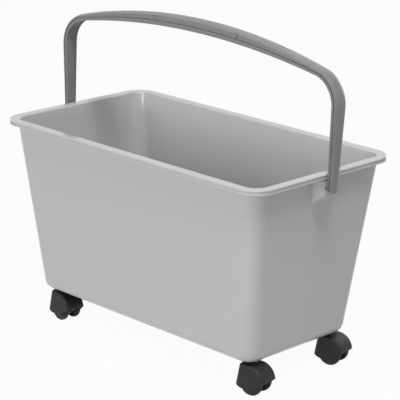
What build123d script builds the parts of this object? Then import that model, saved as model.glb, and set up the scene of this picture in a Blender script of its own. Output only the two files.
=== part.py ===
"""Rectangular plastic bucket on four swivel castors, with an arched carrying handle.

Millimetres, +Z up. The origin is on the floor under the middle of the bucket.
+X runs along the bucket's length, and -Y is its front.
"""
import os
from math import asin, degrees, radians, tan

from build123d import *

# Bucket tub
TUB_HEIGHT = 242.0
RIM_LENGTH = 477.0
RIM_WIDTH = 261.0
RIM_CORNER = 31.0
RIM_BAND = 13.0
RIM_SKIRT = 6.5
RIM_WALL = 3.0
RIM_EDGE = 1.2
RIM_LIP = 2.0
RIM_PLATE = 1.9
RIM_CHANNEL = 1.0
RIM_BEAD = 1.3
BASE_LENGTH = 403.0
BASE_WIDTH = 190.6
BASE_CORNER = 23.5
BASE_ROUND = 13.0
WALL = 2.8
FLOOR = 3.5

# Handle bosses under the rim, on the two short sides
BOSS_WIDTH = 31.0
BOSS_DROP = 29.5
BOSS_SLOPE = 39.0
PIVOT_DROP = 16.3
PIVOT_PIN = 9.0
PIVOT_DEPTH = 8.0
PIVOT_COLLAR = 13.0

# Carrying handle, with its section at the foot, the shoulder and the grip
HANDLE_RISE = 156.0
HANDLE_GAP = 3.2
HANDLE_SPLAY = 2.0
HANDLE_LEAN = 1.1
ARCH_SAG = 37.0
ARCH_CORNER = 45.0
FOOT_WIDTH = 14.6
FOOT_THICKNESS = 7.0
SHOULDER_WIDTH = 19.0
SHOULDER_THICKNESS = 8.8
GRIP_WIDTH = 22.8
GRIP_THICKNESS = 15.6
STRAP_CROWN = 2.2
LIP_SHARE = 0.36
RAIL_WIDTH = 2.2
RAIL_HEIGHT = 0.8
GROOVE_HEIGHT = 1.6
GROOVE_DEPTH = 1.4
ARCH_SECTIONS = 7
WINDOW_SPACING = 150.0
WINDOW_SHIFT = 9.0
WINDOW_LENGTH = 7.5
WINDOW_HEIGHT = 6.0
WINDOW_DEPTH = 1.0
WINDOW_RIB = 2.6

# Castors: where they stand, and how far each one is turned on its stem
CASTOR_HEIGHT = 43.0
CASTOR_INSET = 21.0
CASTOR_TRAIL = 12.0
FRONT_LEFT_TURN = -4.0
FRONT_RIGHT_TURN = 7.0
REAR_LEFT_TURN = 5.0
REAR_RIGHT_TURN = 10.5

# Castor wheels and axle
WHEEL_DIAMETER = 33.4
WHEEL_SPREAD = 14.0
WHEEL_WIDTH = 5.6
WHEEL_DOME = 1.0
WHEEL_TREAD = 2.6
WHEEL_DISC = 1.6
WHEEL_HUB = 10.0
WHEEL_ROUND = 1.8
AXLE_DIAMETER = 5.0
AXLE_COVER = 1.2

# Castor hood
HOOD_TOP = 40.0
HOOD_RADIUS = 21.0
HOOD_WALL = 1.4
HOOD_DRAFT = 3.0
HOOD_NOSE = 10.5
HOOD_SLANT = 9.0
HOOD_CORNER = 7.0
HOOD_SHOULDER = 3.5
HOOD_LOWER_FRONT = 12.5
HOOD_LOWER_REAR = 20.5
HOOD_LOWER_DIP = 8.5
HOOD_DIP_FRONT = 12.5
HOOD_DIP_REAR = 7.0
HOOD_WEB = 5.0
HOOD_HUB = 11.0
HOOD_HOUSING = 12.0

# Castor stem, its two rings and its socket in the tub
STEM_JOURNAL = 7.0
STEM_SHANK = 10.0
STEM_CHAMFER = 1.2
STEM_FLANGE = 14.0
STEM_FLANGE_THICKNESS = 1.2
STEM_REACH = 19.0
STEM_TIP = 1.4
GRIP_RING_NECK = 7.6
GRIP_RING_HEIGHT = 9.0
GRIP_RING_LOW = 5.0
GRIP_RING_SPLIT = 1.6
CLIP_NECK = 5.4
CLIP_DIAMETER = 9.6
CLIP_THICKNESS = 0.9
CLIP_SPLIT = 3.0
CLIP_TOP = 22.0
SOCKET_WALL = 3.0
SOCKET_ROUND = 2.0

# Clearances
RUNNING_FIT = 0.08
PRESS_FIT = 0.02
SHANK_FIT = 0.2
SWIVEL_GAP = 0.3
WHEEL_GAP = 0.7
CLIP_ROOM = 0.5

# Levels and reaches that several pieces share
BASE_Z = CASTOR_HEIGHT
RIM_Z = BASE_Z + TUB_HEIGHT
RIM_HALF = RIM_LENGTH / 2
BOSS_HALF = RIM_HALF - RIM_CHANNEL
PIVOT_Z = RIM_Z - PIVOT_DROP
AXLE_Z = WHEEL_DIAMETER / 2
FLANGE_Z = CASTOR_HEIGHT - STEM_FLANGE_THICKNESS
STEM_TIP_Z = CLIP_TOP - CLIP_THICKNESS - STEM_TIP
SOCKET_BORE = STEM_SHANK + 2 * SHANK_FIT
HOOD_Z = HOOD_TOP - HOOD_RADIUS

# Half widths across one castor at its axle, from its middle outwards
WHEEL_INNER_Y = WHEEL_SPREAD / 2
WHEEL_EDGE_Y = WHEEL_INNER_Y + WHEEL_WIDTH
WHEEL_OUTER_Y = WHEEL_EDGE_Y + WHEEL_DOME
HOOD_OUTER_Y = WHEEL_OUTER_Y + WHEEL_GAP + HOOD_WALL
AXLE_END_Y = WHEEL_OUTER_Y - AXLE_COVER - SWIVEL_GAP

# Each castor's side of the bucket along X and Y, and its turn
CASTORS = {
    "front_left": (-1, -1, FRONT_LEFT_TURN),
    "front_right": (1, -1, FRONT_RIGHT_TURN),
    "rear_left": (-1, 1, REAR_LEFT_TURN),
    "rear_right": (1, 1, REAR_RIGHT_TURN),
}


def castor_place(sign_x, sign_y):
    """The point on the floor under one castor's stem."""
    return Pos(sign_x * (BASE_LENGTH / 2 - CASTOR_INSET), sign_y * (BASE_WIDTH / 2 - CASTOR_INSET))


def upright(diameter, low_z, high_z):
    """An upright cylinder on the Z axis between two levels."""
    return Pos(0, 0, low_z) * Cylinder(
        diameter / 2, high_z - low_z, align=(Align.CENTER, Align.CENTER, Align.MIN)
    )


def tapered_box(low_size, low_corner, high_size, high_corner, low_z, high_z):
    """A box with rounded corners that widens from its lower outline to its upper one."""
    low = Pos(0, 0, low_z) * RectangleRounded(*low_size, low_corner)
    high = Pos(0, 0, high_z) * RectangleRounded(*high_size, high_corner)
    return loft([low, high])


def bottom_rounded(solid, radius):
    """The solid with the edges of its lowest face rounded."""
    return fillet(solid.faces().sort_by(Axis.Z)[0].edges(), radius)


def rim_outline(inset):
    """The rim's outline from above, drawn in by an inset."""
    return RectangleRounded(RIM_LENGTH - 2 * inset, RIM_WIDTH - 2 * inset, RIM_CORNER - inset)


def tub_rim():
    """The flange round the mouth, with a skirt under its edge that is channelled down to a bead."""
    low_z = RIM_Z - RIM_SKIRT
    rim = Pos(0, 0, low_z) * extrude(rim_outline(0), RIM_SKIRT)
    rim = fillet(rim.faces().sort_by(Axis.Z)[-1].edges(), RIM_EDGE)
    rim -= Pos(0, 0, low_z) * extrude(rim_outline(RIM_WALL), RIM_SKIRT - RIM_WALL)
    channel = rim_outline(0) - rim_outline(RIM_CHANNEL)
    return rim - Pos(0, 0, low_z + RIM_BEAD) * extrude(channel, RIM_SKIRT - RIM_PLATE - RIM_BEAD)


def handle_boss(sign):
    """The wedge under the rim on one short side, which carries a handle pin."""
    top_z = RIM_Z - (RIM_EDGE + RIM_WALL) / 2
    low_z = RIM_Z - BOSS_DROP
    inner_x = (BASE_LENGTH - WALL) / 2
    inner_z = low_z - (BOSS_HALF - inner_x) * tan(radians(BOSS_SLOPE))
    outline = Polyline(
        (sign * BOSS_HALF, top_z), (sign * BOSS_HALF, low_z),
        (sign * inner_x, inner_z), (sign * inner_x, top_z), close=True,
    )
    return extrude(Plane.XZ * make_face(outline.edges()), BOSS_WIDTH / 2, both=True)


def bucket_tub():
    """The moulded tub: walls, flanged rim, handle bosses and castor sockets."""
    mouth_length = RIM_LENGTH - 2 * RIM_BAND
    mouth_width = RIM_WIDTH - 2 * RIM_BAND
    mouth_corner = RIM_CORNER - RIM_BAND
    outside = tapered_box(
        (BASE_LENGTH, BASE_WIDTH), BASE_CORNER,
        (mouth_length + 2 * WALL, mouth_width + 2 * WALL), mouth_corner + WALL, BASE_Z, RIM_Z,
    )
    inside = tapered_box(
        (BASE_LENGTH - 2 * WALL, BASE_WIDTH - 2 * WALL), BASE_CORNER - WALL,
        (mouth_length, mouth_width), mouth_corner, BASE_Z + FLOOR, RIM_Z,
    )
    tub = bottom_rounded(outside, BASE_ROUND) + tub_rim()
    for sign in (-1, 1):
        tub += handle_boss(sign)
    tub -= bottom_rounded(inside, BASE_ROUND - WALL)
    mouth = tub.faces().filter_by(Axis.Z).sort_by(Axis.Z)[-1]
    tub = fillet(mouth.inner_wires()[0].edges(), RIM_LIP)

    for sign in (-1, 1):
        pivot = Plane.YZ.offset(sign * BOSS_HALF) * Pos(0, PIVOT_Z)
        bore = Circle(PIVOT_PIN / 2 + RUNNING_FIT)
        tub -= extrude(pivot * bore, -sign * (PIVOT_DEPTH + SWIVEL_GAP))

    bore_top = BASE_Z + STEM_REACH + SWIVEL_GAP
    boss = upright(SOCKET_BORE + 2 * SOCKET_WALL, BASE_Z, bore_top + SOCKET_WALL)
    boss = fillet(boss.edges().sort_by(Axis.Z)[-1], SOCKET_ROUND)
    bore = upright(SOCKET_BORE, BASE_Z, bore_top)
    places = [castor_place(sign_x, sign_y) for sign_x, sign_y, _ in CASTORS.values()]
    tub += [place * boss for place in places]
    tub -= [place * bore for place in places]
    return tub


def handle_line():
    """The middle of the handle's outer face: two splayed legs, two corners and a shallow arch."""
    foot_z = PIVOT_Z - FOOT_WIDTH / 2
    crown_z = RIM_Z + HANDLE_RISE
    shoulder_z = crown_z - ARCH_SAG
    foot_x = RIM_HALF + HANDLE_GAP + FOOT_THICKNESS
    shoulder_x = foot_x + (shoulder_z - foot_z) * tan(radians(HANDLE_SPLAY))
    line = Wire([
        Line((-foot_x, foot_z), (-shoulder_x, shoulder_z)).edge(),
        ThreePointArc((-shoulder_x, shoulder_z), (0, crown_z), (shoulder_x, shoulder_z)).edge(),
        Line((shoulder_x, shoulder_z), (foot_x, foot_z)).edge(),
    ])
    corners = line.vertices().sort_by(Axis.Y)[-2:]
    return Plane.XZ * line.fillet_2d(ARCH_CORNER, corners)


def across(edge, position):
    """The plane square to the handle's line, with its Y axis pointing outwards."""
    return Plane(edge @ position, x_dir=(0, 1, 0), z_dir=edge % position)


def lip_level(thickness):
    """Where the groove starts in a section of that thickness, below the outer face."""
    return (LIP_SHARE - 1) * thickness


def strap_section(width, thickness):
    """The handle's section: crowned outside, grooved sides and two low rails on the inner face."""
    half = width / 2
    neck = half - GROOVE_DEPTH
    rail = half - RAIL_WIDTH
    rail_y = RAIL_HEIGHT - thickness
    lip_y = lip_level(thickness)
    groove_y = lip_y + GROOVE_HEIGHT
    crown = ThreePointArc((-half, -STRAP_CROWN), (0, 0), (half, -STRAP_CROWN))
    sides = Polyline(
        (half, -STRAP_CROWN), (half, groove_y), (neck, groove_y), (neck, lip_y), (half, lip_y),
        (half, -thickness), (rail, -thickness), (rail, rail_y),
        (-rail, rail_y), (-rail, -thickness), (-half, -thickness),
        (-half, lip_y), (-neck, lip_y), (-neck, groove_y), (-half, groove_y), (-half, -STRAP_CROWN),
    )
    return make_face([*crown.edges(), *sides.edges()])


def arch_size(position):
    """The arch's width and thickness, which swell from its ends to the grip in the middle."""
    swell = 1 - (2 * position - 1) ** 2
    width = SHOULDER_WIDTH + (GRIP_WIDTH - SHOULDER_WIDTH) * swell
    thickness = SHOULDER_THICKNESS + (GRIP_THICKNESS - SHOULDER_THICKNESS) * swell
    return width, thickness


def grip_marks(arch):
    """The small windows that end the grip, and the ribs beside them that bridge the groove."""
    windows = []
    ribs = []
    for end in (-1, 1):
        position = 0.5 + (WINDOW_SHIFT + end * WINDOW_SPACING / 2) / arch.length
        width, thickness = arch_size(position)
        place = across(arch, position)
        lip_y = lip_level(thickness)
        window_y = lip_y + GROOVE_HEIGHT + WINDOW_HEIGHT / 2
        for side in (-1, 1):
            window = Pos(side * (width - WINDOW_DEPTH) / 2, window_y)
            windows.append(place * window * Box(WINDOW_DEPTH, WINDOW_HEIGHT, WINDOW_LENGTH))
            rib = Pos(
                side * (width - GROOVE_DEPTH) / 2, lip_y + GROOVE_HEIGHT / 2,
                -(WINDOW_LENGTH + WINDOW_RIB) / 2,
            )
            ribs.append(place * rib * Box(GROOVE_DEPTH, GROOVE_HEIGHT, WINDOW_RIB))
    return windows, ribs


def bail_handle():
    """The moulded handle: tapered legs, round corners, a swelling arch and two pivot pins."""
    segments = handle_line().edges().sort_by(lambda edge: (edge @ 0.5).X)
    left_leg, left_corner, arch, right_corner, right_leg = segments
    foot = strap_section(FOOT_WIDTH, FOOT_THICKNESS)
    shoulder = strap_section(SHOULDER_WIDTH, SHOULDER_THICKNESS)
    positions = [number / (ARCH_SECTIONS - 1) for number in range(ARCH_SECTIONS)]
    handle = loft([across(arch, position) * strap_section(*arch_size(position)) for position in positions])
    handle += [
        loft([across(left_leg, 0) * foot, across(left_leg, 1) * shoulder]),
        loft([across(right_leg, 0) * shoulder, across(right_leg, 1) * foot]),
        sweep(across(left_corner, 0) * shoulder, path=left_corner),
        sweep(across(right_corner, 0) * shoulder, path=right_corner),
    ]
    windows, ribs = grip_marks(arch)
    handle -= windows
    handle += ribs

    # Round feet, each with a thrust collar and a pin that snaps into the boss
    reach = 2 * (RIM_LENGTH + HANDLE_RISE)
    below = Box(reach, SHOULDER_WIDTH, FOOT_WIDTH, align=(Align.CENTER, Align.CENTER, Align.MAX))
    below -= Cylinder(FOOT_WIDTH / 2, reach, rotation=(0, 90, 0))
    handle -= Pos(0, 0, PIVOT_Z) * below
    root = RIM_CHANNEL + HANDLE_GAP + FOOT_THICKNESS / 2
    for sign in (-1, 1):
        collar = Plane.YZ.offset(sign * (BOSS_HALF + SWIVEL_GAP)) * Pos(0, PIVOT_Z)
        handle += extrude(collar * Circle(PIVOT_COLLAR / 2), sign * (root - SWIVEL_GAP))
        pin = Plane.YZ.offset(sign * (BOSS_HALF - PIVOT_DEPTH)) * Pos(0, PIVOT_Z)
        handle += extrude(pin * Circle(PIVOT_PIN / 2), sign * (PIVOT_DEPTH + root))
    return Pos(0, 0, PIVOT_Z) * Rot(-HANDLE_LEAN, 0, 0) * Pos(0, 0, -PIVOT_Z) * handle


def hood_side(inset):
    """The hood from the side: a slanted front, a flat top, a round back and a dipped lower edge."""
    radius = HOOD_RADIUS - inset
    top_z = HOOD_Z + radius
    front_z = HOOD_LOWER_FRONT - inset
    dip_z = HOOD_LOWER_DIP - inset
    rear_angle = degrees(asin((HOOD_LOWER_REAR - inset - HOOD_Z) / radius))
    back = CenterArc((CASTOR_TRAIL, HOOD_Z), radius, rear_angle, 90 - rear_angle)
    nose_x = inset - HOOD_NOSE
    outline = Polyline(
        back @ 1, (nose_x + (top_z - front_z) * tan(radians(HOOD_SLANT)), top_z), (nose_x, front_z),
        (CASTOR_TRAIL - HOOD_DIP_FRONT, dip_z), (CASTOR_TRAIL + HOOD_DIP_REAR, dip_z), back @ 0,
    )
    return Plane.XZ * make_face([*back.edges(), *outline.edges()])


def hood_block(inset):
    """The hood's drafted form, with a round nose and rounded upper edges."""
    reach = 2 * HOOD_RADIUS
    lean = tan(radians(HOOD_DRAFT)) * reach
    low = HOOD_OUTER_Y - inset + lean
    high = HOOD_OUTER_Y - inset - lean
    ends = Polyline(
        (-low, AXLE_Z - reach), (low, AXLE_Z - reach), (high, AXLE_Z + reach), (-high, AXLE_Z + reach),
        close=True,
    )
    block = extrude(hood_side(inset), low, both=True)
    block &= extrude(Plane.YZ * make_face(ends.edges()), CASTOR_TRAIL + reach, both=True)
    front = block.faces().sort_by(lambda face: face.normal_at().X)[0]
    nose = front.edges().sort_by(lambda edge: abs(edge.tangent_at(0.5).Z))[-2:]
    block = fillet(nose, HOOD_CORNER - inset)
    top = block.faces().sort_by(Axis.Z)[-1]
    back = block.faces().filter_by(GeomType.CYLINDER).sort_by(Axis.X)[-1]
    shoulders = (top.edges() + back.edges()).filter_by(Axis.Y, reverse=True)
    front_edge = top.edges().sort_by(Axis.X)[:1]
    return fillet(shoulders + front_edge, HOOD_SHOULDER - inset)


def castor_hood():
    """The hood: a dome over both wheels, with a web, a housing for the stem and a hub for the axle."""
    hood = hood_block(0) - hood_block(HOOD_WALL)
    hood += extrude(hood_side(0), HOOD_WEB / 2, both=True)
    hub_length = 2 * (WHEEL_INNER_Y - WHEEL_GAP)
    axle_place = Pos(CASTOR_TRAIL, 0, AXLE_Z)
    hood += axle_place * Cylinder(HOOD_HUB / 2, hub_length, rotation=(90, 0, 0))
    hood -= axle_place * Cylinder(AXLE_DIAMETER / 2 + PRESS_FIT, hub_length, rotation=(90, 0, 0))
    window_top = CLIP_TOP + SWIVEL_GAP
    window_low = STEM_TIP_Z - CLIP_ROOM
    hood += upright(HOOD_HOUSING, window_top, FLANGE_Z - SWIVEL_GAP)
    hood -= upright(STEM_JOURNAL + 2 * RUNNING_FIT, CLIP_TOP, CASTOR_HEIGHT)
    window = Box(CLIP_DIAMETER + 2 * CLIP_ROOM, HOOD_WEB, window_top - window_low)
    hood -= Pos(0, 0, (window_top + window_low) / 2) * window
    return hood


def castor_stem():
    """The turned stem: a journal for the hood, a flange under the tub and a grooved shank."""
    journal = STEM_JOURNAL / 2
    shank = STEM_SHANK / 2
    ring_low = BASE_Z + GRIP_RING_LOW
    ring_high = ring_low + GRIP_RING_HEIGHT
    top = BASE_Z + STEM_REACH
    profile = Polyline(
        (0, STEM_TIP_Z), (journal, STEM_TIP_Z),
        (journal, CLIP_TOP - CLIP_THICKNESS), (CLIP_NECK / 2, CLIP_TOP - CLIP_THICKNESS),
        (CLIP_NECK / 2, CLIP_TOP), (journal, CLIP_TOP), (journal, FLANGE_Z),
        (STEM_FLANGE / 2, FLANGE_Z), (STEM_FLANGE / 2, BASE_Z), (shank, BASE_Z),
        (shank, ring_low), (GRIP_RING_NECK / 2, ring_low),
        (GRIP_RING_NECK / 2, ring_high), (shank, ring_high),
        (shank, top - STEM_CHAMFER), (shank - STEM_CHAMFER, top), (0, top), close=True,
    )
    return revolve(Plane.XZ * make_face(profile.edges()), Axis.Z)


def split_ring(outer, inner, low_z, high_z, split):
    """A flat or tall ring that is cut through on one side, so that it can spring."""
    ring = upright(outer, low_z, high_z) - upright(inner, low_z, high_z)
    cut = Box(outer, split, high_z - low_z, align=(Align.MIN, Align.CENTER, Align.MIN))
    return ring - Pos(0, 0, low_z) * cut


def grip_ring():
    """The split sleeve round the shank, which grips the tub's socket."""
    low_z = BASE_Z + GRIP_RING_LOW + PRESS_FIT
    outer = SOCKET_BORE - 2 * PRESS_FIT
    inner = GRIP_RING_NECK + 2 * PRESS_FIT
    return split_ring(outer, inner, low_z, low_z + GRIP_RING_HEIGHT - 2 * PRESS_FIT, GRIP_RING_SPLIT)


def retaining_ring():
    """The spring clip in the stem's lower groove, which keeps the hood on."""
    low_z = CLIP_TOP - CLIP_THICKNESS + PRESS_FIT
    inner = CLIP_NECK + 2 * PRESS_FIT
    return split_ring(CLIP_DIAMETER, inner, low_z, CLIP_TOP - PRESS_FIT, CLIP_SPLIT)


def castor_axle():
    """The straight pin that both wheels run on."""
    return Pos(CASTOR_TRAIL, 0, AXLE_Z) * Cylinder(AXLE_DIAMETER / 2, 2 * AXLE_END_Y, rotation=(90, 0, 0))


def castor_wheel(side):
    """One domed, cup-shaped wheel, open towards the web, with a blind hub for the axle."""
    radius = WHEEL_DIAMETER / 2
    cup = radius - WHEEL_TREAD
    hub = WHEEL_HUB / 2
    bore = AXLE_DIAMETER / 2 + RUNNING_FIT
    bore_end = AXLE_END_Y + SWIVEL_GAP
    disc_y = WHEEL_EDGE_Y - WHEEL_DISC
    dome = TangentArc((0, WHEEL_OUTER_Y), (radius, WHEEL_EDGE_Y), tangent=(1, 0))
    inside = Polyline(
        (radius, WHEEL_EDGE_Y), (radius, WHEEL_INNER_Y), (cup, WHEEL_INNER_Y), (cup, disc_y), (hub, disc_y),
        (hub, WHEEL_INNER_Y), (bore, WHEEL_INNER_Y), (bore, bore_end), (0, bore_end), (0, WHEEL_OUTER_Y),
    )
    profile = make_face([*dome.edges(), *inside.edges()])
    tread = profile.vertices().group_by(Axis.X)[-1]
    wheel = revolve(fillet(tread, WHEEL_ROUND), Axis.Y)
    turn = Rot(0, 0, 0) if side > 0 else Rot(0, 0, 180)
    return Pos(CASTOR_TRAIL, 0, AXLE_Z) * turn * wheel


def main():
    """Write every piece to its own file."""
    os.makedirs("parts", exist_ok=True)
    pieces = {"bucket_tub": bucket_tub(), "bail_handle": bail_handle()}
    castor = {
        "castor_stem": castor_stem(),
        "grip_ring": grip_ring(),
        "retaining_ring": retaining_ring(),
        "castor_hood": castor_hood(),
        "castor_axle": castor_axle(),
        "left_wheel": castor_wheel(-1),
        "right_wheel": castor_wheel(1),
    }
    for corner, (sign_x, sign_y, turn) in CASTORS.items():
        place = castor_place(sign_x, sign_y) * Rot(0, 0, turn)
        for name, shape in castor.items():
            pieces[f"{name}_{corner}"] = place * shape
    for name, shape in pieces.items():
        export_step(shape, f"parts/{name}.step")


main()
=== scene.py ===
"""Light-grey rectangular bucket on four black castors, with a darker arched carrying handle."""
from math import cos, radians, sin

import bpy
from mathutils import Matrix, Vector

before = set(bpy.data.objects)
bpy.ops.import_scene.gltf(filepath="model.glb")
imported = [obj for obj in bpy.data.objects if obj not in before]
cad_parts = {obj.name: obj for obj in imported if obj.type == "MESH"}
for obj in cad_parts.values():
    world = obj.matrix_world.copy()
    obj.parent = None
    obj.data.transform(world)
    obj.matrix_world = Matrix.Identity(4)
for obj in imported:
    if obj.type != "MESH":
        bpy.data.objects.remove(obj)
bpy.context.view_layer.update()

# Bucket tub
# One piece of light-grey polypropylene, moulded in a polished tool, so its walls are smooth and
# satin. Its colour has faint clouds, and hairline scuffs from use run along it.
TUB_PALE = (0.640, 0.641, 0.641)
TUB_DEEP = (0.632, 0.633, 0.634)
TUB_SCUFF = (0.700, 0.702, 0.700)
TUB_CLOUD = 4.0
TUB_GRAIN = 900.0
TUB_ROUGHNESS = (0.12, 0.15)
TUB_SHINE = 0.42

# What the tub's finish shares with the other moulded plastics. A piece's cloud and grain are the
# scales of its noises, in lumps to the metre, and a band is the part of a noise that is used.
CLOUD_DETAIL = 1.0
CLOUD_BAND = (0.20, 0.80)
SCUFF_PER_GRAIN = 0.4
SCUFF_DETAIL = 2.0
SCUFF_BAND = (0.70, 0.80)
SCUFF_STRENGTH = 0.35
SCUFF_STRETCH = (0.06, 1.0, 1.0)
SCUFF_TURN = (0.0, radians(24), radians(11))
HAZE_PER_CLOUD = 4
HAZE_DETAIL = 4.0
HAZE_BAND = (0.3, 0.7)
GRAIN_DETAIL = 2.0
GRAIN_STRENGTH = 0.012
GRAIN_DEPTH = 0.0004


def add_node(tree, kind, **settings):
    """One shader node, with its own properties set by name."""
    node = tree.nodes.new(kind)
    for name, value in settings.items():
        setattr(node, name, value)
    return node


def noise_at(tree, place, scale, detail):
    """A noise over the piece's own coordinates, in metres."""
    noise = add_node(tree, "ShaderNodeTexNoise")
    noise.inputs["Scale"].default_value = scale
    noise.inputs["Detail"].default_value = detail
    tree.links.new(place, noise.inputs["Vector"])
    return noise.outputs["Fac"]


def spread(tree, value, band, reach):
    """One band of a value, spread over the whole of a reach and held at its ends."""
    ranged = add_node(tree, "ShaderNodeMapRange")
    ranged.inputs["From Min"].default_value, ranged.inputs["From Max"].default_value = band
    ranged.inputs["To Min"].default_value, ranged.inputs["To Max"].default_value = reach
    tree.links.new(value, ranged.inputs["Value"])
    return ranged.outputs["Result"]


def tint(tree, share, first, second):
    """A colour between two, by share. Either colour may be a value or a socket."""
    mix = add_node(tree, "ShaderNodeMix", data_type="RGBA")
    tree.links.new(share, mix.inputs["Factor"])
    for socket, colour in ((mix.inputs["A"], first), (mix.inputs["B"], second)):
        if isinstance(colour, tuple):
            socket.default_value = (*colour, 1.0)
        else:
            tree.links.new(colour, socket)
    return mix.outputs["Result"]


def moulded_plastic(name, pale, deep, scuff, cloud, grain, roughness, shine):
    """A moulded plastic: two close tones in soft clouds, a fine grain and hairline scuffs."""
    material = bpy.data.materials.new(name)
    material.use_nodes = True
    tree = material.node_tree
    shader = tree.nodes["Principled BSDF"]
    shader.inputs["Specular IOR Level"].default_value = shine
    place = add_node(tree, "ShaderNodeTexCoord").outputs["Object"]

    clouds = spread(tree, noise_at(tree, place, cloud, CLOUD_DETAIL), CLOUD_BAND, (0.0, 1.0))
    clouded = tint(tree, clouds, deep, pale)

    # Hairline scuffs run along the piece, so their noise is stretched in that direction
    stretch = add_node(tree, "ShaderNodeMapping")
    stretch.inputs["Scale"].default_value = SCUFF_STRETCH
    stretch.inputs["Rotation"].default_value = SCUFF_TURN
    tree.links.new(place, stretch.inputs["Vector"])
    hairs = noise_at(tree, stretch.outputs["Vector"], grain * SCUFF_PER_GRAIN, SCUFF_DETAIL)
    scuffs = spread(tree, hairs, SCUFF_BAND, (0.0, SCUFF_STRENGTH))
    tree.links.new(tint(tree, scuffs, clouded, scuff), shader.inputs["Base Color"])

    haze = noise_at(tree, place, cloud * HAZE_PER_CLOUD, HAZE_DETAIL)
    tree.links.new(spread(tree, haze, HAZE_BAND, roughness), shader.inputs["Roughness"])

    bump = add_node(tree, "ShaderNodeBump")
    bump.inputs["Strength"].default_value = GRAIN_STRENGTH
    bump.inputs["Distance"].default_value = GRAIN_DEPTH
    tree.links.new(noise_at(tree, place, grain, GRAIN_DETAIL), bump.inputs["Height"])
    tree.links.new(bump.outputs["Normal"], shader.inputs["Normal"])
    return material


def dress(node, material):
    """The material on every face of one CAD node."""
    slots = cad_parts[node].data.materials
    slots.clear()
    slots.append(material)


tub_plastic = moulded_plastic(
    "tub_plastic", TUB_PALE, TUB_DEEP, TUB_SCUFF, TUB_CLOUD, TUB_GRAIN, TUB_ROUGHNESS, TUB_SHINE
)
dress("bucket_tub", tub_plastic)

# Carrying handle
# One moulded arch of darker grey polypropylene, with a duller finish than the tub's. Its two pins
# snap into the bosses under the rim, and it swings on them to the front and to the back.
HANDLE_PALE = (0.252, 0.254, 0.256)
HANDLE_DEEP = (0.236, 0.238, 0.241)
HANDLE_SCUFF = (0.350, 0.352, 0.352)
HANDLE_CLOUD = 22.0
HANDLE_GRAIN = 1400.0
HANDLE_ROUGHNESS = (0.40, 0.50)
HANDLE_SHINE = 0.45

handle_plastic = moulded_plastic(
    "handle_plastic", HANDLE_PALE, HANDLE_DEEP, HANDLE_SCUFF, HANDLE_CLOUD, HANDLE_GRAIN,
    HANDLE_ROUGHNESS, HANDLE_SHINE
)
dress("bail_handle", handle_plastic)

# Castor stems, rings and axles
# Turned and stamped steel with a dull zinc plate. Each stem is pressed up into the tub with its
# split grip ring, the retaining ring keeps the hood on it, and the axle is pressed into the hood.
STEEL_PALE = (0.60, 0.60, 0.61)
STEEL_DEEP = (0.44, 0.44, 0.46)
STEEL_CLOUD = 90.0
STEEL_DETAIL = 5.0
STEEL_BAND = (0.3, 0.7)
STEEL_ROUGHNESS = (0.25, 0.42)
CORNERS = ("front_left", "front_right", "rear_left", "rear_right")

zinc_steel = bpy.data.materials.new("zinc_steel")
zinc_steel.use_nodes = True
steel_tree = zinc_steel.node_tree
steel_shader = steel_tree.nodes["Principled BSDF"]
steel_shader.inputs["Metallic"].default_value = 1.0
steel_place = add_node(steel_tree, "ShaderNodeTexCoord").outputs["Object"]
steel_clouds = noise_at(steel_tree, steel_place, STEEL_CLOUD, STEEL_DETAIL)
steel_colour = tint(steel_tree, steel_clouds, STEEL_DEEP, STEEL_PALE)
steel_tree.links.new(steel_colour, steel_shader.inputs["Base Color"])
steel_dullness = spread(steel_tree, steel_clouds, STEEL_BAND, STEEL_ROUGHNESS)
steel_tree.links.new(steel_dullness, steel_shader.inputs["Roughness"])
for corner in CORNERS:
    for piece in ("castor_stem", "grip_ring", "retaining_ring", "castor_axle"):
        dress(f"{piece}_{corner}", zinc_steel)

# Castor hoods
# Black nylon, moulded with a fine even grain, each turning on its stem and reaching down over
# both of its wheels.
HOOD_PALE = (0.020, 0.020, 0.021)
HOOD_DEEP = (0.014, 0.014, 0.015)
HOOD_SCUFF = (0.050, 0.050, 0.050)
HOOD_CLOUD = 70.0
HOOD_GRAIN = 2600.0
HOOD_ROUGHNESS = (0.42, 0.55)
HOOD_SHINE = 0.30

hood_plastic = moulded_plastic(
    "hood_plastic", HOOD_PALE, HOOD_DEEP, HOOD_SCUFF, HOOD_CLOUD, HOOD_GRAIN, HOOD_ROUGHNESS,
    HOOD_SHINE
)
for corner in CORNERS:
    dress(f"castor_hood_{corner}", hood_plastic)

# Castor wheels
# Black nylon cups in pairs, moulded a shade greyer and duller than the hoods. Each has a blind hub
# and runs loose on its own end of the axle.
WHEEL_PALE = (0.024, 0.024, 0.024)
WHEEL_DEEP = (0.015, 0.015, 0.016)
WHEEL_SCUFF = (0.070, 0.069, 0.067)
WHEEL_CLOUD = 110.0
WHEEL_GRAIN = 2200.0
WHEEL_ROUGHNESS = (0.46, 0.62)
WHEEL_SHINE = 0.30

wheel_plastic = moulded_plastic(
    "wheel_plastic", WHEEL_PALE, WHEEL_DEEP, WHEEL_SCUFF, WHEEL_CLOUD, WHEEL_GRAIN,
    WHEEL_ROUGHNESS, WHEEL_SHINE
)
for corner in CORNERS:
    for side in ("left", "right"):
        dress(f"{side}_wheel_{corner}", wheel_plastic)

# Floor and white surround
# A wide white floor that shows as white to the camera and still darkens where the bucket
# shades it, under an even white surround.
FLOOR_HALF = 12.0
FLOOR_WHITE = (0.66, 0.66, 0.66)
FLOOR_ROUGHNESS = 1.0
FLOOR_SHINE = 0.0
FLOOR_GLOW = 0.95
SURROUND_WHITE = (1.0, 1.0, 1.0)
SURROUND_LEVEL = 0.05

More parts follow.
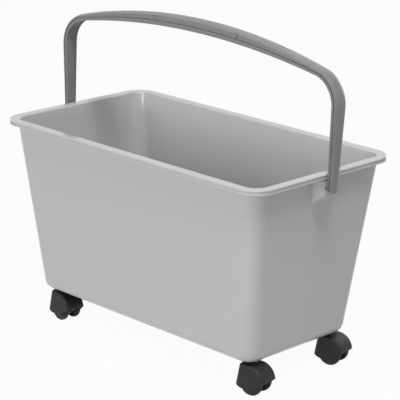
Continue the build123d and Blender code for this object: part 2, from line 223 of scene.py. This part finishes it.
floor_mesh = bpy.data.meshes.new("floor")
floor_corners = [(-1, -1), (1, -1), (1, 1), (-1, 1)]
floor_points = [(x * FLOOR_HALF, y * FLOOR_HALF, 0.0) for x, y in floor_corners]
floor_mesh.from_pydata(floor_points, [], [(0, 1, 2, 3)])
floor = bpy.data.objects.new("floor", floor_mesh)
bpy.context.scene.collection.objects.link(floor)


def seen_directly(tree):
    """One where a ray comes from the camera, a mirror or glass, and nought elsewhere."""
    path = add_node(tree, "ShaderNodeLightPath")
    mirrored = add_node(tree, "ShaderNodeMath", operation="MAXIMUM")
    seen = add_node(tree, "ShaderNodeMath", operation="MAXIMUM")
    tree.links.new(path.outputs["Is Camera Ray"], mirrored.inputs[0])
    tree.links.new(path.outputs["Is Glossy Ray"], mirrored.inputs[1])
    tree.links.new(mirrored.outputs["Value"], seen.inputs[0])
    tree.links.new(path.outputs["Is Transmission Ray"], seen.inputs[1])
    return seen.outputs["Value"]


floor_white = bpy.data.materials.new("floor_white")
floor_white.use_nodes = True
floor_tree = floor_white.node_tree
floor_shader = floor_tree.nodes["Principled BSDF"]
floor_shader.inputs["Base Color"].default_value = (*FLOOR_WHITE, 1.0)
floor_shader.inputs["Roughness"].default_value = FLOOR_ROUGHNESS
floor_shader.inputs["Specular IOR Level"].default_value = FLOOR_SHINE
floor_glow = add_node(floor_tree, "ShaderNodeEmission")
floor_share = add_node(floor_tree, "ShaderNodeMath", operation="MULTIPLY")
floor_share.inputs[1].default_value = FLOOR_GLOW
floor_tree.links.new(seen_directly(floor_tree), floor_share.inputs[0])
floor_mix = add_node(floor_tree, "ShaderNodeMixShader")
floor_tree.links.new(floor_share.outputs["Value"], floor_mix.inputs["Fac"])
floor_tree.links.new(floor_shader.outputs["BSDF"], floor_mix.inputs[1])
floor_tree.links.new(floor_glow.outputs["Emission"], floor_mix.inputs[2])
floor_surface = floor_tree.nodes["Material Output"].inputs["Surface"]
floor_tree.links.new(floor_mix.outputs["Shader"], floor_surface)
floor_mesh.materials.append(floor_white)

surround = bpy.data.worlds.new("surround")
surround.use_nodes = True
sky_tree = surround.node_tree
sky = sky_tree.nodes["Background"]
sky.inputs["Color"].default_value = (*SURROUND_WHITE, 1.0)
sky_level = add_node(sky_tree, "ShaderNodeMath", operation="MAXIMUM")
sky_level.inputs[1].default_value = SURROUND_LEVEL
sky_tree.links.new(seen_directly(sky_tree), sky_level.inputs[0])
sky_tree.links.new(sky_level.outputs["Value"], sky.inputs["Strength"])
bpy.context.scene.world = surround

# Studio lamps
# Six soft boxes: one in front, one off the near corner, one overhead, two behind, and a small low
# one, which draws the bright line in the far inner corner.
LAMP_AIM = Vector((0.0, 0.0, 0.20))
LAMP_REACH = 3.0

# Each box's way from the aim, its width in metres and its power in watts
SOFT_BOXES = {
    "front_box": (Vector((-0.28, -0.93, 0.25)), 0.8, 21.0),
    "corner_box": (Vector((0.66, -0.52, 0.54)), 0.8, 6.0),
    "top_box": (Vector((0.37, -0.23, 0.90)), 0.9, 52.0),
    "back_box": (Vector((-0.30, 0.70, 0.65)), 1.6, 9.0),
    "rear_box": (Vector((-0.10, 0.98, 0.12)), 0.8, 16.0),
    "low_box": (Vector((0.340, -0.934, 0.098)), 0.36, 11.0),
}

for name, (way, width, power) in SOFT_BOXES.items():
    lamp = bpy.data.lights.new(name, "AREA")
    lamp.shape = "SQUARE"
    lamp.size = width
    lamp.energy = power
    soft_box = bpy.data.objects.new(name, lamp)
    bpy.context.scene.collection.objects.link(soft_box)
    soft_box.location = LAMP_AIM + LAMP_REACH * way.normalized()
    soft_box.rotation_euler = way.to_track_quat("Z", "Y").to_euler()

# Camera
# A long lens in front of the bucket's right-hand corner, above the rim and turned a little on
# its own axis, as the picture was taken.
CAMERA_PLACE = Vector((1.6218, -1.6242, 0.9068))
CAMERA_AZIMUTH = radians(44.68)
CAMERA_ELEVATION = radians(17.21)
CAMERA_ROLL = radians(1.03)
CAMERA_LENS = 162.3
CAMERA_SENSOR = 36.0
CAMERA_SIGHT = 60.0

to_camera = Vector((
    sin(CAMERA_AZIMUTH) * cos(CAMERA_ELEVATION),
    -cos(CAMERA_AZIMUTH) * cos(CAMERA_ELEVATION),
    sin(CAMERA_ELEVATION),
))
level_right = Vector((cos(CAMERA_AZIMUTH), sin(CAMERA_AZIMUTH), 0.0))
level_up = to_camera.cross(level_right)
picture_right = cos(CAMERA_ROLL) * level_right + sin(CAMERA_ROLL) * level_up
picture_up = cos(CAMERA_ROLL) * level_up - sin(CAMERA_ROLL) * level_right

lens = bpy.data.cameras.new("camera")
lens.lens = CAMERA_LENS
lens.sensor_width = CAMERA_SENSOR
lens.clip_end = CAMERA_SIGHT
camera = bpy.data.objects.new("camera", lens)
bpy.context.scene.collection.objects.link(camera)
turn = Matrix((picture_right, picture_up, to_camera)).transposed()
camera.matrix_world = Matrix.Translation(CAMERA_PLACE) @ turn.to_4x4()
bpy.context.scene.camera = camera
bpy.context.scene.view_settings.view_transform = "Standard"
